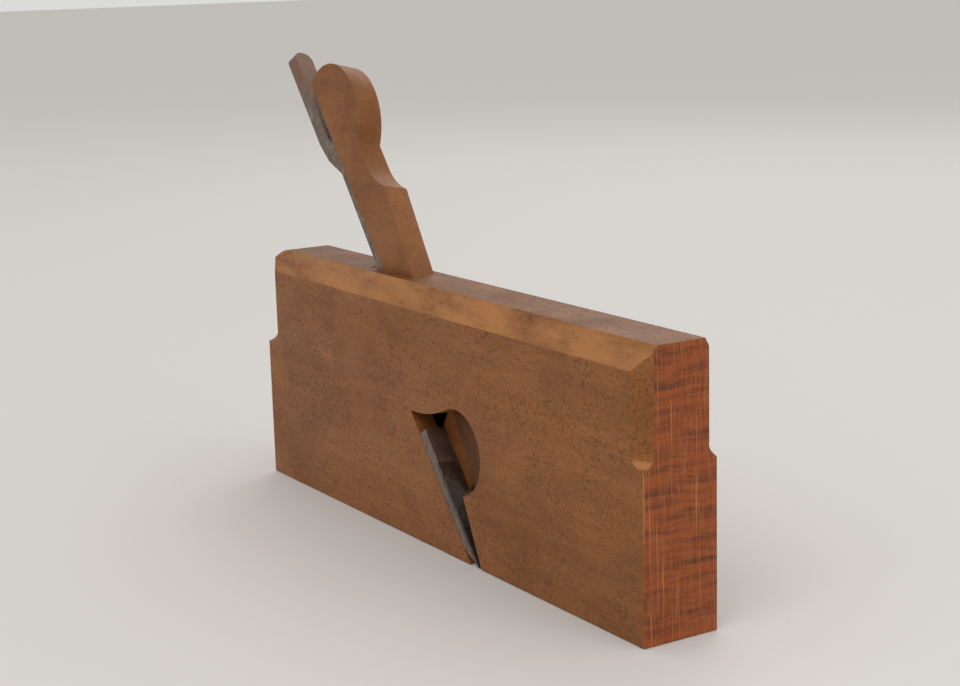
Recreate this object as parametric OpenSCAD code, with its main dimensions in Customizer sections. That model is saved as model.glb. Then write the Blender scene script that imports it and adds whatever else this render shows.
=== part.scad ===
// Skew rabbet plane: a beech stock, a skewed full-width iron with its steel facing, and a wedge.
// Frame: the sole lies on Z = 0, +X points to the toe, -Y is the side that the shavings leave by.
// Lengths "up the bed" are measured along the iron, from its cutting edge at mid width.

/* [Stock] */
// Length of the stock, from heel to toe
stock_l = 241; // [200:1:280]
// Thickness of the stock, from side to side
stock_w = 27; // [24:0.5:32]
// Height of the stock, from sole to top
stock_h = 89; // [82:1:96]
// Height that the broad top chamfers take off each side
top_chamfer_drop = 7.8; // [4:0.2:12]
// Width that the near top chamfer takes off the top
top_chamfer_near = 5.6; // [3:0.2:7]
// Width that the far top chamfer takes off the top
top_chamfer_far = 4.2; // [2:0.2:6]
// Radius of the rounded top edge across the heel
heel_round = 10; // [4:0.5:14]

/* [End chamfers] */
// Height where the upright end chamfers stop
stop_z = 57.5; // [45:0.5:70]
// Radius of the gouge cut that ends each upright chamfer
stop_r = 5; // [4:0.5:9]
// Length and depth of the near toe chamfer
toe_near = [5.8, 4.3];
// Length and depth of the far toe chamfer
toe_far = [4.5, 2.8];
// Length and depth of the near heel chamfer
heel_near = [8, 4.6];
// Length and depth of the far heel chamfer
heel_far = [7, 4];

/* [Bed and mouth] */
// Angle of the bed to the sole, as the sides show it
bed_angle = 51.5; // [46:0.5:56]
// Skew of the cutting edge, away from square across
skew = 24; // [15:0.5:28]
// Place of the cutting edge at mid width, ahead of the middle of the sole
edge_x = 25.2; // [15:0.2:35]
// Opening of the mouth ahead of the cutting edge, along the sole
mouth_gap = 1.2; // [0.8:0.1:3]
// Angle of the front of the throat to the sole, as the sides show it
throat_angle = 65.3; // [60:0.5:72]

/* [Escapement] */
// Radius of the eye on the near side
eye_near_r = 14.7; // [12:0.1:16]
// Centre of the near eye: up the bed, and ahead of the iron
eye_near_at = [36.7, 13.1];
// Radius of the eye on the far side
eye_far_r = 12; // [10:0.1:13]
// Centre of the far eye: up the bed, and ahead of the iron
eye_far_at = [34.7, 12.3];
// Centre of the arc over the near side's brow: up the bed, and ahead of the iron
brow_near_at = [103.3, 30.6];
// Centre of the arc over the far side's brow: up the bed, and ahead of the iron
brow_far_at = [98, 29.4];

/* [Mortise] */
// Width of the mortise, across the stock
mortise_w = 11.1; // [9:0.1:13]
// Offset of the mortise from mid width, away from the near side
mortise_offset = 1.7; // [0:0.1:3]
// Height up the bed where the back of the mortise starts to open
relief_from = 80; // [70:1:95]
// Angle by which the back of the mortise opens towards the top
relief_angle = 4; // [0:0.5:6]

/* [Iron] */
// Thickness of the blade
blade_t = 4.2; // [3:0.05:5]
// Length of the full-width blade, up to its shoulders
blade_l = 48.9; // [42:0.1:50]
// Radius of the blade's shoulders
shoulder_r = 1.3; // [0.5:0.1:4]
// Angle of the sharpening bevel, as the sides show it
bevel_angle = 25; // [20:1:32]
// Height of the cutting edge above the sole, as set
edge_lift = 0.1; // [0.05:0.05:0.5]
// Width of the tang
tang_w = 8.4; // [6:0.2:8.8]
// Thickness of the tang where the lap begins
tang_t = 2.7; // [2.2:0.1:3]
// Length of the iron, from its edge to its head
iron_l = 211.5; // [195:0.5:225]
// Height up the bed where the lapped head piece begins, behind the tang
lap_from = 156; // [150:1:160]
// Height up the bed where the tang ends, in front of the lapped head piece
lap_to = 172; // [166:1:178]
// Thickness of the lapped head piece
head_t = 4.7; // [3:0.1:5]
// Radius of the fillets at the root of the tang
root_r = 4; // [1:0.5:4.5]

/* [Steel facing] */
// Thickness of the steel facing
facing_t = 1.3; // [0.8:0.1:1.8]
// Length of the steel facing, from the cutting edge
facing_l = 36; // [25:1:40]

/* [Wedge] */
// Height up the bed of the wedge's tip
wedge_tip = 25; // [20:1:40]
// Height up the bed of the wedge's shoulder
wedge_shoulder = 135; // [125:1:138]
// Thickness of the wedge at its shoulder
wedge_t = 19.9; // [17:0.1:22]
// Taper of the wedge
wedge_taper = 7; // [5:0.5:9]
// Thickness of the neck above the shoulder
neck_t = 14.6; // [12:0.1:15.5]
// Radius of the hollow between the shoulder and the neck
neck_r = 18; // [12:0.5:22]
// Radius of the finial's round top
finial_r = 19.6; // [18:0.1:20.5]
// Centre of the finial's round top: up the bed, and ahead of the iron
finial_at = [174.6, 5.2];
// Radius of the finial's front bulge
bulge_r = 8.8; // [7:0.1:9.2]
// Centre of the finial's front bulge: up the bed, and ahead of the iron
bulge_at = [170.5, 15.2];
// Radius of the finial's corner at the back
corner_r = 3.4; // [1:0.1:4.8]

/* [Clearances] */
// Gap between the iron and the bed, and between the wedge and what it bears on
bearing_gap = 0.05; // [0.02:0.01:0.1]
// Gap on each side of the wedge in its mortise
wedge_side_gap = 0.15; // [0.1:0.05:0.3]
// Distance that the blade stays inside each side of the stock
blade_inset = 0.1; // [0:0.05:0.3]

/* [Hidden] */
$fn = 96;

// Depth that the gouge cuts below the chamfer's face
stop_bite = 0.08;
half_l = stock_l / 2;
half_w = stock_w / 2;
// Distance that a cutter reaches beyond what it cuts
over = 1;
// Length of a cutter that has to pass right through the stock
reach = stock_l / 2;

// True pitch of the bed, square to the cutting edge
true_pitch = atan(tan(bed_angle) / cos(skew));
// Angle in the plane of the bed between the iron's length and a line square to its edge
lean = asin(cos(bed_angle) * sin(skew));
// True thickness over the thickness that the sides show
square_ratio = 1 / (sin(bed_angle) * sqrt(1 + pow(tan(skew), 2) + pow(1 / tan(bed_angle), 2)));
// Distance of the bed behind the iron's face, true and as the sides show it
bed_depth = blade_t + bearing_gap;
bed_depth_side = bed_depth / square_ratio;
// Lowest and highest places up the bed that cutters reach
low_y = -30;
high_y = (stock_h + 30) / sin(bed_angle);
eye_steps = 26;
brow_steps = 8;

// Distance of the wedge's front ahead of the iron, at a place up the bed
function wedge_front(y) = wedge_t - (wedge_shoulder - y) * tan(wedge_taper);

// Shift along X of what follows the skew, at a distance y from mid width
function skew_shift(y) = -y * tan(skew);

// Point [x, z] in the side plane at y, from [up the bed, ahead of the iron] as that side shows them
function side_point(p, y) = [
    edge_x + skew_shift(y) - p[0] * cos(bed_angle) + p[1] * sin(bed_angle),
    p[0] * sin(bed_angle) + p[1] * cos(bed_angle)
];

// Point on an arc, with its angle turning from up the bed to ahead of the iron
function arc_point(centre, r, angle) = centre + r * [cos(angle), sin(angle)];

// Place up the bed of the eye's lowest level, on the bed
function bed_foot(eye, r) =
    (eye[0] * sin(bed_angle) + (eye[1] + bed_depth_side) * cos(bed_angle) - r) / sin(bed_angle);

// Outline of the escapement in one side: down the bed, round the eye and back under the brow
function escape_outline(eye, r, brow) =
    let (
        to_brow = brow - eye,
        join = atan2(to_brow[1], to_brow[0]),
        brow_r = norm(to_brow) - r,
        down = 270 - bed_angle,
        tip_side = brow[1] + bed_depth_side,
        tip = 180 + asin(tip_side / brow_r)
    )
    concat(
        [[bed_foot(eye, r), -bed_depth_side]],
        [for (i = [0 : eye_steps]) arc_point(eye, r, down + (join - down) * i / eye_steps)],
        [for (i = [1 : brow_steps]) arc_point(brow, brow_r, 180 + join + (tip - 180 - join) * i / brow_steps)]
    );

// Stands children on the iron's face: X across, Y up the bed, Z ahead of the iron
module on_bed() {
    translate([edge_x, 0, 0])
        rotate([0, 0, skew])
            rotate([0, true_pitch, 0])
                rotate([0, 0, 90 - lean])
                    children();
}

// Right through the stock, square across the bed: an outline of [up the bed, ahead of the iron]
module across_bed(points) {
    on_bed() rotate([90, 0, 90]) linear_extrude(2 * reach, center = true) polygon(points);
}

// Right through the stock, along the cutting edge: an outline of [x, z] as seen at mid width
module along_edge(points) {
    rotate([0, 0, skew])
        rotate([90, 0, 0])
            linear_extrude(2 * reach, center = true)
                polygon([for (p = points) [p[0] * cos(skew), p[1]]]);
}

// Everything between two planes that are parallel to the sides
module slab(y_from, y_to) {
    translate([-2 * reach, y_from, -2 * reach]) cube([4 * reach, y_to - y_from, 6 * reach]);
}

// Takes the corner off the top, along the whole of the far side
module top_chamfer(width) {
    rotate([90, 0, 90])
        linear_extrude(stock_l + 2 * over, center = true)
            polygon([
                [half_w - width, stock_h],
                [half_w, stock_h - top_chamfer_drop],
                [half_w + over, stock_h - top_chamfer_drop],
                [half_w + over, stock_h + over],
                [half_w - width, stock_h + over]
            ]);
}

// Takes the upright corner off, at the toe end of the far side, down to a gouge-cut stop
module end_chamfer(size) {
    flat_w = norm(size);
    translate([half_l, half_w, stop_z]) {
        linear_extrude(stock_h)
            polygon([[-size[0], 0], [0, -size[1]], [over, -size[1]], [over, over], [-size[0], over]]);
        translate([-size[0], -size[1], 0] / 2 + [size[1], size[0], 0] * (stop_r - stop_bite) / flat_w)
            rotate([0, 0, -atan2(size[1], size[0])])
                rotate([0, 90, 0])
                    cylinder(h = 3 * flat_w, r = stop_r, center = true);
    }
}

// Rounds the top edge across the heel
module heel_rounding() {
    translate([-half_l, 0, stock_h])
        difference() {
            translate([-over, -half_w - over, -heel_round])
                cube([heel_round + over, stock_w + 2 * over, heel_round + over]);
            translate([heel_round, 0, -heel_round])
                rotate([90, 0, 0])
                    cylinder(h = stock_w + 4 * over, r = heel_round, center = true);
        }
}

// The slot from the sole up to the eye, between the bed and the front of the throat
module throat() {
    top = min(eye_near_at[0], eye_far_at[0]) * sin(bed_angle);
    bed_foot_x = edge_x - bed_depth_side / sin(bed_angle);
    front_foot_x = edge_x + mouth_gap;
    along_edge([
        [bed_foot_x + over / tan(bed_angle), -over],
        [front_foot_x + over / tan(throat_angle), -over],
        [front_foot_x - top / tan(throat_angle), top],
        [bed_foot_x - top / tan(bed_angle), top]
    ]);
}

// The eye and the space under the brow, which narrow from the near side to the far one
module escapement() {
    near = [for (p = escape_outline(eye_near_at, eye_near_r, brow_near_at)) side_point(p, -half_w)];
    far = [for (p = escape_outline(eye_far_at, eye_far_r, brow_far_at)) side_point(p, half_w)];
    count = len(near);
    past = over / stock_w;
    polyhedron(
        points = concat(
            [for (i = [0 : count - 1]) let (p = near[i] - (far[i] - near[i]) * past) [p[0], -half_w - over, p[1]]],
            [for (i = [0 : count - 1]) let (p = far[i] + (far[i] - near[i]) * past) [p[0], half_w + over, p[1]]]
        ),
        faces = concat(
            [[for (i = [count - 1 : -1 : 0]) i], [for (i = [0 : count - 1]) count + i]],
            [for (i = [0 : count - 1]) let (j = (i + 1) % count) [i, j, count + j]],
            [for (i = [0 : count - 1]) let (j = (i + 1) % count) [i, count + j, count + i]]
        )
    );
}

// The mortise for the tang and the wedge, from the top of the stock down into the escapement
module mortise() {
    foot = blade_l;
    rear = -bed_depth - (high_y - relief_from) * tan(relief_angle);
    intersection() {
        across_bed([
            [foot, -bed_depth],
            [relief_from, -bed_depth],
            [high_y, rear],
            [high_y, wedge_front(high_y) + bearing_gap],
            [foot, wedge_front(foot) + bearing_gap]
        ]);
        slab(mortise_offset - mortise_w / 2, mortise_offset + mortise_w / 2);
    }
}

// The beech body
module stock() {
    color([0.66, 0.4, 0.19])
        difference() {
            translate([-half_l, -half_w, 0]) cube([stock_l, stock_w, stock_h]);
            top_chamfer(top_chamfer_far);
            mirror([0, 1, 0]) top_chamfer(top_chamfer_near);
            end_chamfer(toe_far);
            mirror([0, 1, 0]) end_chamfer(toe_near);
            mirror([1, 0, 0]) end_chamfer(heel_far);
            mirror([1, 0, 0]) mirror([0, 1, 0]) end_chamfer(heel_near);
            heel_rounding();
            throat();
            escapement();
            mortise();
        }
}

// Half of the blade's width across the bed, at the iron's face
blade_half = (half_w - blade_inset) / (cos(skew) / cos(lean));
tang_near = mortise_offset - tang_w / 2;
tang_far = mortise_offset + tang_w / 2;

// One of the two fillets between the shoulders and the tang, for a tang side at x = 0
module root_fillet() {
    difference() {
        translate([-root_r, -root_r]) square(2 * root_r);
        translate([root_r, root_r]) circle(root_r);
    }
}

// The iron's plan: a full-width blade with round shoulders, its tang and its round head
module iron_plan() {
    head_r = tang_w * 0.4;
    translate([-2 * blade_half, low_y]) square([4 * blade_half, blade_l - shoulder_r - low_y]);
    translate([shoulder_r - blade_half, 0]) square([2 * (blade_half - shoulder_r), blade_l]);
    for (x = [shoulder_r - blade_half, blade_half - shoulder_r])
        translate([x, blade_l - shoulder_r]) circle(shoulder_r);
    translate([tang_near, 0]) square([tang_w, iron_l - head_r]);
    translate([tang_near + head_r, 0]) square([tang_w - 2 * head_r, iron_l]);
    for (x = [tang_near + head_r, tang_far - head_r])
        translate([x, iron_l - head_r]) circle(head_r);
    translate([tang_far, blade_l]) root_fillet();
    translate([tang_near, blade_l]) mirror([1, 0]) root_fillet();
}

// What stays of the iron and its facing above the sharpening bevel, between the sides
module blade_bounds() {
    clear_angle = bed_angle - bevel_angle;
    back = 4 * blade_t;
    intersection() {
        slab(blade_inset - half_w, half_w - blade_inset);
        along_edge([
            [edge_x - edge_lift / tan(bed_angle), edge_lift],
            [edge_x - edge_lift / tan(bed_angle) - back, edge_lift + back * tan(clear_angle)],
            [-reach - stock_l, edge_lift + back],
            [-reach - stock_l, 3 * stock_h],
            [edge_x + back, 3 * stock_h],
            [edge_x + back, edge_lift]
        ]);
    }
}

// The wrought-iron blank: blade, shoulders, tang and lapped head
module iron() {
    lap_grown = (lap_from + lap_to) / 2;
    color([0.45, 0.43, 0.41])
        intersection() {
            on_bed()
                translate([0, 0, -reach])
                    linear_extrude(2 * reach)
                        iron_plan();
            across_bed([
                [low_y, -blade_t],
                [blade_l + root_r, -blade_t],
                [lap_from, -tang_t],
                [lap_grown, -tang_t - head_t * 0.75],
                [lap_to, -tang_t - head_t],
                [iron_l, -tang_t - head_t],
                [iron_l, -tang_t],
                [lap_to, -tang_t],
                [lap_to - 2 * tang_t, 0],
                [facing_l, 0],
                [facing_l, -facing_t],
                [low_y, -facing_t]
            ]);
            blade_bounds();
        }
}

// The cutting steel that is welded to the front of the blade
module steel_facing() {
    color([0.62, 0.62, 0.63])
        intersection() {
            across_bed([[low_y, 0], [low_y, -facing_t], [facing_l, -facing_t], [facing_l, 0]]);
            blade_bounds();
        }
}

// The wedge's outline: its tapered body, its hollowed neck and its round finial
module wedge_outline() {
    hollow_y = wedge_shoulder + sqrt(pow(neck_r, 2) - pow(neck_r + neck_t - wedge_t, 2));
    corner_z = bearing_gap + corner_r;
    corner_at = [
        finial_at[0] + sqrt(pow(finial_r - corner_r, 2) - pow(finial_at[1] - corner_z, 2)),
        corner_z
    ];
    difference() {
        polygon([
            [wedge_tip, bearing_gap],
            [finial_at[0], bearing_gap],
            [finial_at[0], neck_t],
            [hollow_y, neck_t],
            [wedge_shoulder, wedge_t],
            [wedge_tip + 37, wedge_front(wedge_tip + 37)],
            [wedge_tip + 27, wedge_front(wedge_tip + 27) - 1.4],
            [wedge_tip + 14, wedge_front(wedge_tip + 14) - 2.5],
            [wedge_tip + 1, bearing_gap + 1.6]
        ]);
        translate([hollow_y, neck_t + neck_r]) circle(neck_r);
    }
    difference() {
        intersection() {
            translate(finial_at) circle(finial_r);
            translate([0, bearing_gap]) square(2 * reach);
        }
        translate([corner_at[0], 0]) square([finial_r, corner_at[1]]);
    }
    translate(corner_at) circle(corner_r);
    translate(bulge_at) circle(bulge_r);
}

// The beech wedge
module wedge() {
    color([0.62, 0.36, 0.17])
        intersection() {
            on_bed()
                rotate([90, 0, 90])
                    linear_extrude(2 * reach, center = true)
                        wedge_outline();
            slab(
                mortise_offset - mortise_w / 2 + wedge_side_gap,
                mortise_offset + mortise_w / 2 - wedge_side_gap
            );
        }
}

stock();
wedge();
iron();
steel_facing();
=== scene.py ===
import math

import bmesh
import bpy
from bpy.props import FloatProperty, FloatVectorProperty, PointerProperty
from mathutils import Matrix, Vector


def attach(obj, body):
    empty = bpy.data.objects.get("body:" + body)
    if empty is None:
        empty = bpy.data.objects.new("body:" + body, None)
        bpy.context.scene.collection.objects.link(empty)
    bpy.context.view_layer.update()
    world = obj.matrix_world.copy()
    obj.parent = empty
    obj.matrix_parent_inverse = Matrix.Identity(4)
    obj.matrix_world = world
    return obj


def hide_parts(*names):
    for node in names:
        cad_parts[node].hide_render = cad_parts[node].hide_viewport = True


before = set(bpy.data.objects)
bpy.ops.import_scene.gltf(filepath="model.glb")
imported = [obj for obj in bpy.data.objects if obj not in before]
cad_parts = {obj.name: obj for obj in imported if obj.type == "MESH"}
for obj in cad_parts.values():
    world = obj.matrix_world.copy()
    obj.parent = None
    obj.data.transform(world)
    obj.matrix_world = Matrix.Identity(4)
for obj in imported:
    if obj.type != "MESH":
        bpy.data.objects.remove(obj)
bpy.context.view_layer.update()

bl_info = {
    "name": "Skew rabbet plane",
    "version": (1, 0, 0),
    "blender": (4, 5, 0),
    "location": "View3D > Sidebar > Plane",
    "description": "Dresses the stock, wedge and iron of a wooden skew rabbet plane",
    "category": "Object",
}

MM = 0.001

# Wear of the solids' edges
WORN_ANGLE = math.radians(24)    # convex edges sharper than this are rounded off
CREASE_ANGLE = math.radians(40)  # edges sharper than this stay creased in the shading
FLAT_ANGLE = math.radians(0.6)   # faces this near to flat become one face
MERGE_DISTANCE = 0.002 * MM

# Noise in cycles per metre: one number, or one each along, across and up the plane
GRAIN_TONE = (14, 160, 190)
GRAIN_PORES = (90, 1400, 1500)
STEEP_FLECKS = (2300, 1500, 620)
FLAT_FLECKS = (420, 900, 1300)
FLECK_ZONES = 60.0
HANDLED_PATCHES = 26.0
# Patches of the painted shade on the stock's top
TOP_SHADE_PATCHES = 70.0
SLOPE_RUBBING = (30, 90, 90)
RAYS = (8, 900, 22)
END_FIBRES = (10, 2600, 120)
END_SPECKS = 1500.0
BAND_BENDS = 45.0
BANDS_ACROSS, BANDS_UP = 26.0, 330.0
MOTTLE = 240.0
PITS = 1300.0
RUST_BLOOMS = 95.0
SCRATCHES = (700, 2400, 120)
RUBBED_PATCHES = 160.0

# Turns of the stretched noises about the three axes, in radians
NO_TURN = (0, 0, 0)
FLECK_TURN = (0, 0.16, 0)
RAY_TURN = (-0.23, 0, 0)
SCRATCH_TURN = (0, -0.67, 0)

# Colours that no setting gives
# Painted shade: the colour that darkens the stock's upward faces
TOP_SHADE_COLOUR = (0.085, 0.034, 0.014)
RUBBED_BEECH = (0.60, 0.28, 0.10)
BLACK_SCALE = (0.05, 0.04, 0.035)
SCRATCHED_IRON = (0.55, 0.5, 0.45)
PITTED_IRON = (0.035, 0.022, 0.016)
RUBBED_IRON = (0.50, 0.46, 0.42)

BEND_OF_BANDS = 6 * MM
RUSTY_HEAD = (138 * MM, 158 * MM)  # heights where the rust of the head starts and is full

# The photo's camera, solved from the plane's edges: angles in radians, lens in mm
CAMERA_AZIMUTH = -0.5574554
CAMERA_ELEVATION = 0.2047203
CAMERA_ROLL = -0.0274582
CAMERA_PLACE = Vector((524.219, -318.247, 196.308)) * MM
CAMERA_LENS = 69.18
SENSOR_WIDTH = 36.0
CLIP_RANGE = (0.01, 20.0)

# The stage, in metres and watts
FLOOR_HALF_WIDTH = 9.0
FLOOR_CELLS = 8
FLOOR_DROP = 0.2 * MM
FLOOR_COLOUR = (0.70, 0.68, 0.66, 1)
FLOOR_ROUGHNESS = 0.7
SKY_COLOUR = (1.0, 0.985, 0.965, 1)
SKY_STRENGTH = 0.72
LAMP_AIM = Vector((0, 0, 0.05))
LAMPS = (  # name, place, width, power
    ("key", (0.5, -1.0, 1.3), 1.1, 5.5),
    ("toe", (1.3, 0.3, 0.8), 0.9, 4.0),
    ("back", (-0.8, 0.9, 1.0), 0.9, 2.5),
)

# Layout of the nodes in the editor, left of the shader
NODES_PER_ROW = 8
NODE_STEP = (200, 260)
FIRST_NODE = -1800


class WoodSettings(bpy.types.PropertyGroup):
    """Sizes and colours of the beech pieces"""
    stock_wear: FloatProperty(
        name="Stock arris wear", description="Radius of the worn arrises of the stock",
        default=0.7 * MM, min=0.0, unit="LENGTH", precision=5)
    wedge_wear: FloatProperty(
        name="Wedge arris wear", description="Radius of the worn arrises of the wedge",
        default=0.8 * MM, min=0.0, unit="LENGTH", precision=5)
    side_colour: FloatVectorProperty(
        name="Side", description="Colour of the aged beech on its sides",
        default=(0.262, 0.091, 0.019), subtype="COLOR", min=0.0, max=1.0)
    dark_colour: FloatVectorProperty(
        name="Dark", description="Colour of the flecks and of the handled wood",
        default=(0.088, 0.029, 0.008), subtype="COLOR", min=0.0, max=1.0)
    light_colour: FloatVectorProperty(
        name="Worn", description="Colour of the wood where it is rubbed pale",
        default=(0.44, 0.18, 0.05), subtype="COLOR", min=0.0, max=1.0)
    end_colour: FloatVectorProperty(
        name="End grain", description="Colour of the end grain",
        default=(0.27, 0.056, 0.010), subtype="COLOR", min=0.0, max=1.0)
    end_dark: FloatVectorProperty(
        name="End grain bands", description="Colour of the growth bands in the end grain",
        default=(0.085, 0.017, 0.005), subtype="COLOR", min=0.0, max=1.0)


class MetalSettings(bpy.types.PropertyGroup):
    """Sizes and colours of the iron and its steel facing"""
    iron_wear: FloatProperty(
        name="Iron arris wear", description="Radius of the worn arrises of the iron",
        default=0.28 * MM, min=0.0, unit="LENGTH", precision=5)
    steel_wear: FloatProperty(
        name="Steel arris wear", description="Radius of the worn arrises of the steel facing",
        default=0.05 * MM, min=0.0, unit="LENGTH", precision=5)
    iron_colour: FloatVectorProperty(
        name="Iron", description="Colour of the grey forged iron",
        default=(0.24, 0.205, 0.18), subtype="COLOR", min=0.0, max=1.0)
    rust_colour: FloatVectorProperty(
        name="Rust", description="Colour of the rusty head",
        default=(0.19, 0.095, 0.05), subtype="COLOR", min=0.0, max=1.0)
    steel_colour: FloatVectorProperty(
        name="Steel", description="Colour of the dark steel facing",
        default=(0.085, 0.07, 0.058), subtype="COLOR", min=0.0, max=1.0)


def add(tree, kind, **values):
    """Adds a node beside those that the tree has."""
    row, column = divmod(len(tree.nodes), NODES_PER_ROW)
    node = tree.nodes.new(kind)
    node.location = (FIRST_NODE + column * NODE_STEP[0], -row * NODE_STEP[1])
    for key, value in values.items():
        setattr(node, key, value)
    return node


def feed(tree, socket, value):
    """Gives a socket a link, a number or a colour."""
    if isinstance(value, bpy.types.NodeSocket):
        tree.links.new(value, socket)
    elif isinstance(value, (int, float)):
        socket.default_value = value
    else:
        socket.default_value = (*value[:3], 1)


def math_node(tree, operation, *operands, clamp=False):
    node = add(tree, "ShaderNodeMath", operation=operation, use_clamp=clamp)
    for socket, value in zip(node.inputs, operands):
        feed(tree, socket, value)
    return node.outputs[0]


def times(tree, a, b, clamp=False):
    return math_node(tree, "MULTIPLY", a, b, clamp=clamp)


def plus(tree, a, b, clamp=False):
    return math_node(tree, "ADD", a, b, clamp=clamp)


def minus(tree, a, b):
    return math_node(tree, "SUBTRACT", a, b)


def ramp(tree, value, span, to=(0.0, 1.0)):
    """Maps a span of values to another one, held at its ends."""
    node = add(tree, "ShaderNodeMapRange", clamp=True)
    for name, v in zip(("From Min", "From Max", "To Min", "To Max"), (*span, *to)):
        node.inputs[name].default_value = v
    tree.links.new(value, node.inputs["Value"])
    return node.outputs["Result"]


def blend(tree, factor, a, b):
    """Mixes two colours."""
    node = add(tree, "ShaderNodeMix", data_type="RGBA")
    for socket, value in ((node.inputs[0], factor), (node.inputs[6], a), (node.inputs[7], b)):
        feed(tree, socket, value)
    return node.outputs[2]


def noise(tree, vector, scale, detail, roughness=0.5, distortion=0.0, turn=NO_TURN):
    """Noise of one scale, or stretched and turned where the scale has three numbers."""
    if isinstance(scale, tuple):
        mapping = add(tree, "ShaderNodeMapping")
        mapping.inputs["Scale"].default_value = scale
        mapping.inputs["Rotation"].default_value = turn
        tree.links.new(vector, mapping.inputs["Vector"])
        vector, scale = mapping.outputs[0], 1.0
    node = add(tree, "ShaderNodeTexNoise")
    for name, v in (("Vector", vector), ("Scale", scale), ("Detail", detail),
                    ("Roughness", roughness), ("Distortion", distortion)):
        feed(tree, node.inputs[name], v)
    return node.outputs[0]


def split_xyz(tree, vector):
    """The three parts of a vector."""
    node = add(tree, "ShaderNodeSeparateXYZ")
    tree.links.new(vector, node.inputs[0])
    return node.outputs


COLOUR = "NodeSocketColor"
VALUE = "NodeSocketFloat"
VECTOR = "NodeSocketVector"


def group(name, inputs, outputs):
    """An empty node group with its sockets: the tree, its inputs and its outputs."""
    tree = bpy.data.node_groups.new(name, "ShaderNodeTree")
    for direction, sockets in (("INPUT", inputs), ("OUTPUT", outputs)):
        for label, kind in sockets.items():
            tree.interface.new_socket(label, in_out=direction, socket_type=kind)
    start = add(tree, "NodeGroupInput")
    end = add(tree, "NodeGroupOutput")
    end.location = (0, 0)
    return tree, start.outputs, end.inputs


def beech_group():
    """Beech: tone along the grain, short dark flecks, fine pores, patches of handling."""
    tree, given, out = group(
        "Beech grain",
        {"Vector": VECTOR, "Base": COLOUR, "Dark": COLOUR, "Light": COLOUR,
         "Flecks": VALUE, "Streaks": VALUE},
        {"Colour": COLOUR, "Height": VALUE, "Roughness": VALUE})
    v = given["Vector"]
    tone = noise(tree, v, GRAIN_TONE, detail=4, roughness=0.6, distortion=0.4)
    pores = noise(tree, v, GRAIN_PORES, detail=3, roughness=0.6)
    patches = noise(tree, v, HANDLED_PATCHES, detail=4, roughness=0.6, distortion=0.6)
    steep = ramp(tree, noise(tree, v, STEEP_FLECKS, detail=2, turn=FLECK_TURN), (0.55, 0.63))
    flat = ramp(tree, noise(tree, v, FLAT_FLECKS, detail=2), (0.585, 0.65))
    zones = ramp(tree, noise(tree, v, FLECK_ZONES, detail=3, roughness=0.6),
                 (0.35, 0.65), to=(0.35, 1.0))
    flecks = times(tree, math_node(tree, "MAXIMUM", steep, flat), zones)
    flecks = times(tree, flecks, given["Flecks"])

    streaks = times(tree, ramp(tree, tone, (0.32, 0.70)), given["Streaks"])
    handling = ramp(tree, patches, (0.44, 0.74), to=(0.0, 0.42))
    open_pores = minus(tree, 1.0, ramp(tree, pores, (0.30, 0.62)))
    colour = blend(tree, streaks, given["Base"], given["Light"])
    for mask in (handling, times(tree, flecks, 0.95), times(tree, open_pores, 0.28)):
        colour = blend(tree, mask, colour, given["Dark"])
    tree.links.new(colour, out["Colour"])

    height = plus(tree, times(tree, pores, 0.6), times(tree, minus(tree, 1.0, flecks), 0.6))
    tree.links.new(height, out["Height"])
    roughness = plus(tree, ramp(tree, patches, (0.3, 0.7), to=(0.40, 0.58)),
                     times(tree, flecks, 0.15))
    tree.links.new(roughness, out["Roughness"])
    return tree


def end_grain_group():
    """End grain: dark growth bands, crossed by thin bright ray lines that lean a little."""
    tree, given, out = group(
        "End grain",
        {"Vector": VECTOR, "Base": COLOUR, "Dark": COLOUR, "Ray": COLOUR},
        {"Colour": COLOUR})
    v = given["Vector"]
    _, across, up = split_xyz(tree, v)
    bend = times(tree, noise(tree, v, BAND_BENDS, detail=2), BEND_OF_BANDS)
    band_place = add(tree, "ShaderNodeCombineXYZ")
    feed(tree, band_place.inputs[1], times(tree, across, BANDS_ACROSS))
    feed(tree, band_place.inputs[2], times(tree, plus(tree, up, bend), BANDS_UP))
    bands = noise(tree, band_place.outputs[0], 1.0, detail=3, roughness=0.7)
    rays = noise(tree, v, RAYS, detail=2, turn=RAY_TURN)
    fibres = noise(tree, v, END_FIBRES, detail=2, roughness=0.6, turn=RAY_TURN)
    specks = noise(tree, v, END_SPECKS, detail=2, roughness=0.6)

    colour = given["Base"]
    for mask, tint in (
            (times(tree, ramp(tree, bands, (0.44, 0.66)), 0.9), given["Dark"]),
            (ramp(tree, fibres, (0.45, 0.75), to=(0.0, 0.45)), given["Ray"]),
            (times(tree, ramp(tree, rays, (0.60, 0.70)), 0.7), given["Ray"]),
            (ramp(tree, specks, (0.55, 0.75), to=(0.0, 0.5)), given["Dark"])):
        colour = blend(tree, mask, colour, tint)
    tree.links.new(colour, out["Colour"])
    return tree


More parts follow.
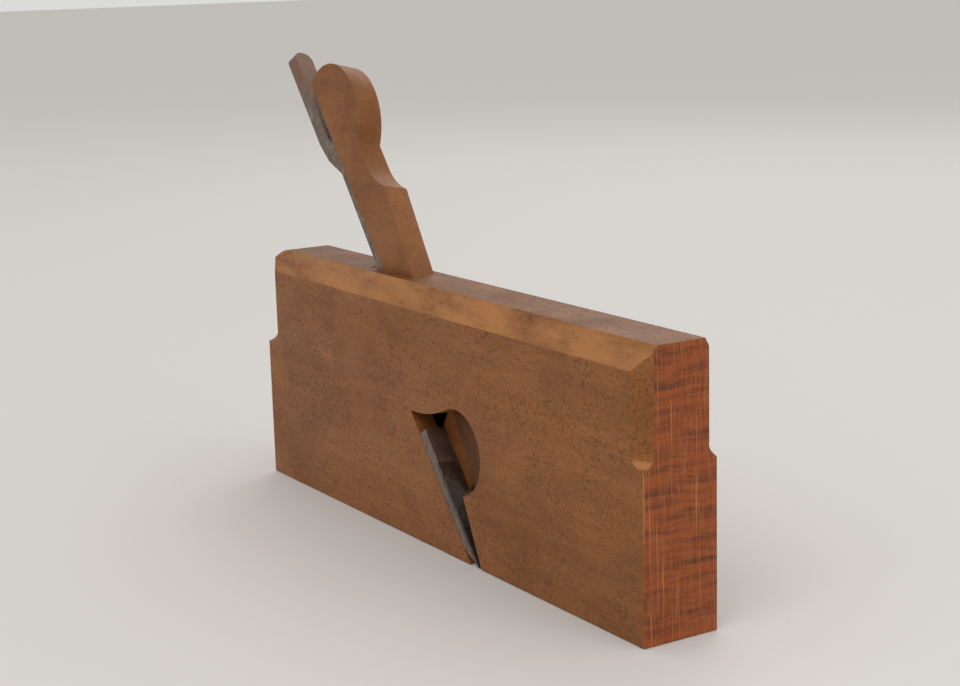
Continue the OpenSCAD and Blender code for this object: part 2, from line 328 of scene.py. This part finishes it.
def metal_group():
    """Forged metal: mottled grey, pits, scratches along the length and blooms of rust."""
    tree, given, out = group(
        "Forged metal",
        {"Vector": VECTOR, "Base": COLOUR, "Rust": COLOUR, "Rust amount": VALUE},
        {"Colour": COLOUR, "Height": VALUE, "Roughness": VALUE, "Metal": VALUE})
    v = given["Vector"]
    mottle = noise(tree, v, MOTTLE, detail=5, roughness=0.65)
    pits = noise(tree, v, PITS, detail=3, roughness=0.6)
    blooms = noise(tree, v, RUST_BLOOMS, detail=5, roughness=0.65, distortion=0.5)
    scratches = noise(tree, v, SCRATCHES, detail=2, turn=SCRATCH_TURN)
    rust = times(tree, ramp(tree, blooms, (0.38, 0.62)), given["Rust amount"], clamp=True)

    colour = given["Base"]
    for mask, tint in (
            (ramp(tree, mottle, (0.35, 0.7), to=(0.0, 0.6)), BLACK_SCALE),
            (ramp(tree, scratches, (0.55, 0.75), to=(0.0, 0.35)), SCRATCHED_IRON),
            (rust, given["Rust"]),
            (ramp(tree, pits, (0.58, 0.72), to=(0.0, 0.6)), PITTED_IRON)):
        colour = blend(tree, mask, colour, tint)
    tree.links.new(colour, out["Colour"])

    rise = times(tree, mottle, 0.5)
    tree.links.new(minus(tree, rise, ramp(tree, pits, (0.5, 0.75))), out["Height"])
    tree.links.new(ramp(tree, plus(tree, rust, rise), (0.2, 1.1), to=(0.36, 0.8)),
                   out["Roughness"])
    tree.links.new(ramp(tree, rust, (0.0, 1.0), to=(0.85, 0.15)), out["Metal"])
    return tree


def rubbing_group():
    """Mask of the rubbed patches along an arris."""
    tree, given, out = group(
        "Rubbed patches", {"Vector": VECTOR, "Least": VALUE}, {"Mask": VALUE})
    patches = ramp(tree, noise(tree, given["Vector"], RUBBED_PATCHES, detail=4, roughness=0.6),
                   (0.35, 0.6))
    spread = times(tree, patches, minus(tree, 1.0, given["Least"]))
    tree.links.new(plus(tree, spread, given["Least"], clamp=True), out["Mask"])
    return tree


GROUPS = {}


def shared_groups():
    """The node groups that the materials share, built once."""
    if not GROUPS:
        GROUPS.update(beech=beech_group(), end=end_grain_group(),
                      metal=metal_group(), rubbing=rubbing_group())
    return GROUPS


def place(tree, name, vector, values):
    """Places a shared group in a material, with the material's own values."""
    node = add(tree, "ShaderNodeGroup", node_tree=shared_groups()[name])
    tree.links.new(vector, node.inputs["Vector"])
    for label, value in values.items():
        feed(tree, node.inputs[label], value)
    return node.outputs


def new_material(name):
    """A material, its tree, its shader and its texture coordinates."""
    mat = bpy.data.materials.new(name)
    mat.use_nodes = True
    tree = mat.node_tree
    return mat, tree, tree.nodes["Principled BSDF"], add(tree, "ShaderNodeTexCoord").outputs


def bump(tree, shader, height, strength, distance):
    """Feeds the shader's normal from a height."""
    node = add(tree, "ShaderNodeBump")
    node.inputs["Strength"].default_value = strength
    node.inputs["Distance"].default_value = distance
    tree.links.new(height, node.inputs["Height"])
    tree.links.new(node.outputs[0], shader.inputs["Normal"])


def rub(tree, vector, colour, rubbed, least, strength):
    """Lays the rubbed colour over an arris."""
    mask = place(tree, "rubbing", vector, {"Least": least})["Mask"]
    return blend(tree, times(tree, mask, strength), colour, rubbed)


def stock_dressing(tree, coords, colour, wood):
    """The stock's end grain, the painted shade on its top and the rubbing of its chamfers."""
    v = coords["Object"]
    along, _, up = split_xyz(tree, coords["Normal"])
    ends = place(tree, "end", v, {
        "Base": wood.end_colour, "Dark": wood.end_dark, "Ray": wood.light_colour})
    end_mask = ramp(tree, math_node(tree, "ABSOLUTE", along), (0.72, 0.9))
    colour = blend(tree, end_mask, colour, ends["Colour"])

    # Painted shade: the upward faces of the stock are darkened in patches
    top = ramp(tree, up, (0.86, 0.98), to=(0.0, 0.45))
    shade_patches = ramp(tree, noise(tree, v, TOP_SHADE_PATCHES, detail=4, roughness=0.65), (0.32, 0.62))
    colour = blend(tree, times(tree, top, shade_patches), colour, TOP_SHADE_COLOUR)

    slope = times(tree, ramp(tree, up, (0.35, 0.5)), ramp(tree, up, (0.86, 0.75)))
    rubbing = ramp(tree, noise(tree, v, SLOPE_RUBBING, detail=4, roughness=0.6),
                   (0.36, 0.58), to=(0.05, 0.8))
    return blend(tree, times(tree, slope, rubbing), colour, wood.light_colour)


def beech_material(name, wood, tint, flecks, is_stock, is_arris):
    """Aged beech, with the stock's own dressing or rubbed as an arris where asked."""
    mat, tree, shader, coords = new_material(name)
    v = coords["Object"]
    sides = place(tree, "beech", v, {
        "Base": [c * tint for c in wood.side_colour], "Dark": wood.dark_colour,
        "Light": wood.light_colour, "Flecks": flecks, "Streaks": 0.34})
    colour = sides["Colour"]
    if is_stock:
        colour = stock_dressing(tree, coords, colour, wood)
    if is_arris:
        colour = rub(tree, v, colour, RUBBED_BEECH, least=0.5, strength=0.75)
    tree.links.new(colour, shader.inputs["Base Color"])
    tree.links.new(sides["Roughness"], shader.inputs["Roughness"])
    shader.inputs["Specular IOR Level"].default_value = 0.3
    bump(tree, shader, sides["Height"], strength=0.35, distance=0.12 * MM)
    return mat


def metal_material(name, colour, metal, rust, is_arris=False):
    """Forged metal that rusts towards the head, rubbed bright as an arris where asked."""
    mat, tree, shader, coords = new_material(name)
    v = coords["Object"]
    forged = place(tree, "metal", v, {
        "Base": colour, "Rust": metal.rust_colour, "Rust amount": rust})
    head = ramp(tree, split_xyz(tree, v)[2], RUSTY_HEAD)
    full = blend(tree, times(tree, head, 0.85), forged["Colour"], metal.rust_colour)
    if is_arris:
        full = rub(tree, v, full, RUBBED_IRON, least=0.3, strength=0.6)
    tree.links.new(full, shader.inputs["Base Color"])
    tree.links.new(forged["Roughness"], shader.inputs["Roughness"])
    bare = minus(tree, 1.0, times(tree, head, 0.7))
    tree.links.new(times(tree, forged["Metal"], bare), shader.inputs["Metallic"])
    bump(tree, shader, forged["Height"], strength=0.5, distance=0.2 * MM)
    return mat


def worn_copy(node, name, width, body, materials, segments):
    """A copy of a solid with its convex edges worn round, in the last of its materials."""
    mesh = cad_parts[node].data.copy()
    mesh.name = name
    work = bmesh.new()
    work.from_mesh(mesh)
    bmesh.ops.remove_doubles(work, verts=work.verts, dist=MERGE_DISTANCE)
    bmesh.ops.dissolve_limit(work, angle_limit=FLAT_ANGLE, verts=work.verts, edges=work.edges)
    weight = work.edges.layers.float.new("bevel_weight_edge")
    for edge in work.edges:
        if edge.is_manifold and edge.is_convex and edge.calc_face_angle() > WORN_ANGLE:
            edge[weight] = 1.0
    work.to_mesh(mesh)
    work.free()
    mesh.materials.clear()
    for material in materials:
        mesh.materials.append(material)
    piece = bpy.data.objects.new(name, mesh)
    bpy.context.scene.collection.objects.link(piece)
    wear = piece.modifiers.new("Worn arrises", "BEVEL")
    wear.width = width
    wear.segments = segments
    wear.limit_method = "WEIGHT"
    wear.use_clamp_overlap = True
    wear.harden_normals = True
    wear.material = len(materials) - 1
    for face in mesh.polygons:
        face.use_smooth = True
    mesh.set_sharp_from_angle(angle=CREASE_ANGLE)
    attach(piece, body)
    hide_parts(node)
    return piece


class PLANE_OT_stock(bpy.types.Operator):
    """Builds the beech stock with its worn arrises"""
    bl_idname = "plane.stock"
    bl_label = "Stock"

    def execute(self, context):
        wood = context.scene.plane_wood
        mats = [beech_material(name, wood, 1.0, 0.8, is_stock=True, is_arris=arris)
                for name, arris in (("aged beech", False), ("rubbed beech", True))]
        worn_copy("stock", "stock_body", wood.stock_wear, "stock", mats, segments=3)
        return {"FINISHED"}


class PLANE_OT_wedge(bpy.types.Operator):
    """Builds the wedge with its rubbed arrises"""
    bl_idname = "plane.wedge"
    bl_label = "Wedge"

    def execute(self, context):
        wood = context.scene.plane_wood
        mats = [beech_material(name, wood, 0.95, 0.4, is_stock=False, is_arris=arris)
                for name, arris in (("wedge beech", False), ("rubbed wedge beech", True))]
        worn_copy("wedge", "wedge_body", wood.wedge_wear, "wedge", mats,
                  segments=3)
        return {"FINISHED"}


class PLANE_OT_iron(bpy.types.Operator):
    """Builds the forged iron and its steel facing"""
    bl_idname = "plane.iron"
    bl_label = "Iron"

    def execute(self, context):
        metal = context.scene.plane_metal
        forged = [metal_material(name, metal.iron_colour, metal, rust=0.5, is_arris=arris)
                  for name, arris in (("forged iron", False), ("rubbed iron", True))]
        steel = [metal_material("steel facing", metal.steel_colour, metal, rust=0.25)]
        worn_copy("iron", "iron_blank", metal.iron_wear, "iron", forged,
                  segments=2)
        worn_copy("steel_facing", "steel_face", metal.steel_wear, "iron", steel,
                  segments=1)
        return {"FINISHED"}


def camera():
    """The photo's camera."""
    back = Vector((math.cos(CAMERA_ELEVATION) * math.cos(CAMERA_AZIMUTH),
                   math.cos(CAMERA_ELEVATION) * math.sin(CAMERA_AZIMUTH),
                   math.sin(CAMERA_ELEVATION)))
    level = Vector((0, 0, 1)).cross(back).normalized()
    up = back.cross(level)
    right = level * math.cos(CAMERA_ROLL) + up * math.sin(CAMERA_ROLL)
    rise = up * math.cos(CAMERA_ROLL) - level * math.sin(CAMERA_ROLL)
    data = bpy.data.cameras.new("camera")
    data.sensor_width = SENSOR_WIDTH
    data.lens = CAMERA_LENS
    data.clip_start, data.clip_end = CLIP_RANGE
    cam = bpy.data.objects.new("camera", data)
    bpy.context.scene.collection.objects.link(cam)
    turn = Matrix((right, rise, back)).transposed().to_4x4()
    cam.matrix_world = Matrix.Translation(CAMERA_PLACE) @ turn
    bpy.context.scene.camera = cam


def lamp(name, spot, width, power):
    """A square lamp that faces the plane."""
    data = bpy.data.lights.new(name, "AREA")
    data.size = width
    data.energy = power
    obj = bpy.data.objects.new(name, data)
    bpy.context.scene.collection.objects.link(obj)
    obj.location = spot
    obj.rotation_euler = (Vector(spot) - LAMP_AIM).to_track_quat("Z", "Y").to_euler()


def floor_sheet():
    """The floor under the plane."""
    work = bmesh.new()
    bmesh.ops.create_grid(work, x_segments=FLOOR_CELLS, y_segments=FLOOR_CELLS,
                          size=FLOOR_HALF_WIDTH)
    mesh = bpy.data.meshes.new("floor")
    work.to_mesh(mesh)
    work.free()
    floor = bpy.data.objects.new("floor", mesh)
    bpy.context.scene.collection.objects.link(floor)
    floor.location.z = -FLOOR_DROP
    mat = bpy.data.materials.new("floor")
    mat.use_nodes = True
    shader = mat.node_tree.nodes["Principled BSDF"]
    shader.inputs["Base Color"].default_value = FLOOR_COLOUR
    shader.inputs["Roughness"].default_value = FLOOR_ROUGHNESS
    mesh.materials.append(mat)


class PLANE_OT_stage(bpy.types.Operator):
    """Builds the floor, the lights and the camera"""
    bl_idname = "plane.stage"
    bl_label = "Stage"

    def execute(self, context):
        floor_sheet()
        world = bpy.data.worlds.new("studio")
        context.scene.world = world
        world.use_nodes = True
        sky = world.node_tree.nodes["Background"]
        sky.inputs["Color"].default_value = SKY_COLOUR
        sky.inputs["Strength"].default_value = SKY_STRENGTH
        for name, spot, width, power in LAMPS:
            lamp(name, spot, width, power)
        camera()
        context.scene.view_settings.view_transform = "Standard"
        return {"FINISHED"}


class PLANE_PT_panel(bpy.types.Panel):
    """Lists the plane's settings and pieces"""
    bl_label = "Skew rabbet plane"
    bl_idname = "PLANE_PT_panel"
    bl_space_type = "VIEW_3D"
    bl_region_type = "UI"
    bl_category = "Plane"

    def draw(self, context):
        for settings in (context.scene.plane_wood, context.scene.plane_metal):
            for name in settings.__annotations__:
                self.layout.prop(settings, name)
        for op in OPERATORS:
            self.layout.operator(op.bl_idname)


OPERATORS = (PLANE_OT_stock, PLANE_OT_wedge, PLANE_OT_iron, PLANE_OT_stage)
CLASSES = (WoodSettings, MetalSettings, *OPERATORS, PLANE_PT_panel)


def register():
    for cls in CLASSES:
        bpy.utils.register_class(cls)
    bpy.types.Scene.plane_wood = PointerProperty(type=WoodSettings)
    bpy.types.Scene.plane_metal = PointerProperty(type=MetalSettings)


def unregister():
    del bpy.types.Scene.plane_metal
    del bpy.types.Scene.plane_wood
    for cls in reversed(CLASSES):
        bpy.utils.unregister_class(cls)


def main():
    register()
    bpy.ops.plane.stock()
    bpy.ops.plane.wedge()
    bpy.ops.plane.iron()
    bpy.ops.plane.stage()


if __name__ == "__main__":
    main()
